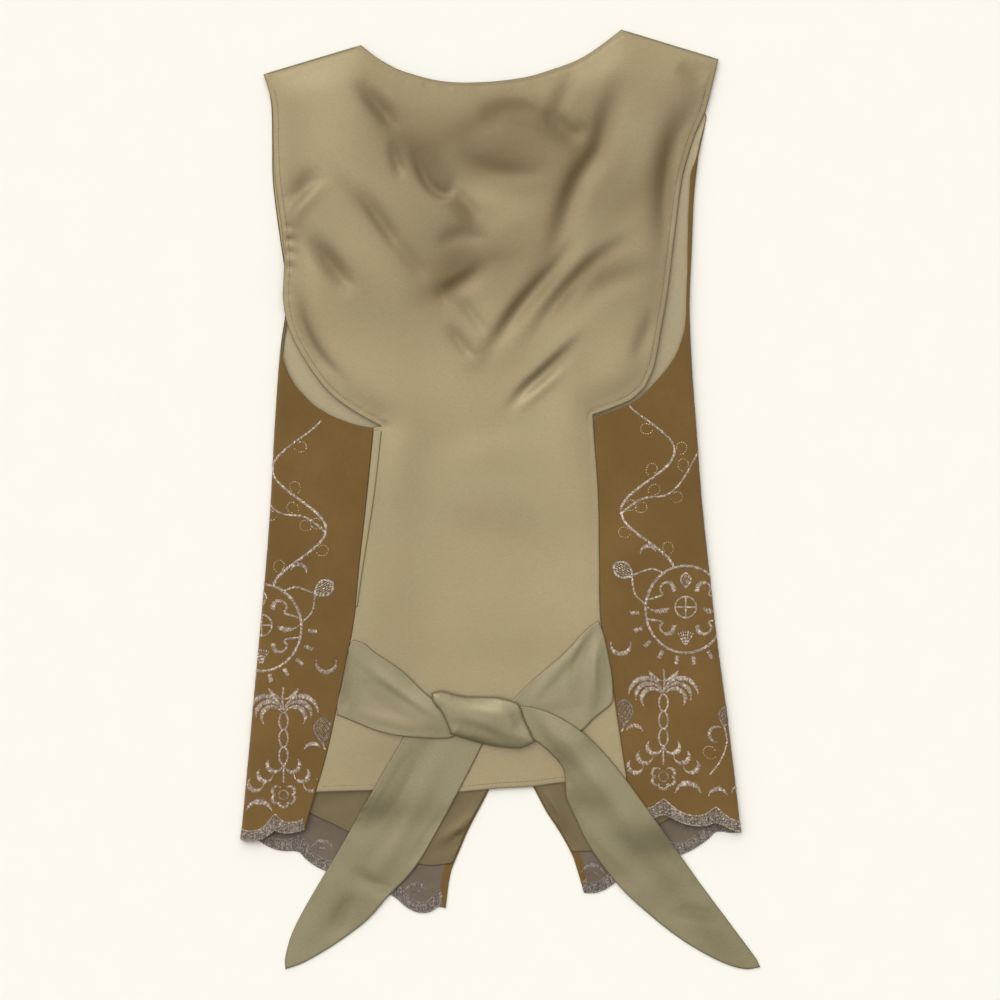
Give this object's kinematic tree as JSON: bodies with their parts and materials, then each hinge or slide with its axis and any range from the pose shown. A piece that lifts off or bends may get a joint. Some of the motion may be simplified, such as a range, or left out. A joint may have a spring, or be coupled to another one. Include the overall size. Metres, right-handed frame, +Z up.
{
  "type": "embroidered waistcoat",
  "caption": "Sleeveless tie-back waistcoat laid flat, back up: satin back, embroidered scalloped fronts turned round the sides, satin waist ties in a half knot.",
  "frame": {"origin": "middle of the garment's box, on the surface it lies on", "axes": "+Y from hem to neck, +X to the wearer's right (the garment lies face down), +Z up from the surface through the fronts to the back"},
  "size_m": [0.4675, 0.8447, 0.0136],
  "materials": {
    "embroidered_cloth": "golden brown woven cloth with pale silver-pink thread embroidery",
    "satin": "champagne satin, soft sheen",
    "lining_satin": "champagne lining satin, soft sheen"
  },
  "bodies": {
    "root": {"front_left": "embroidered_cloth", "front_right": "embroidered_cloth", "lining_left": "lining_satin", "lining_right": "lining_satin", "back": "satin", "seam_tuck": "satin", "tie_left_tail": "satin", "tie_left_root": "satin", "tie_right_root": "satin", "tie_right_tail": "satin", "tie_knot_band": "satin"}
  },
  "joints": []
}
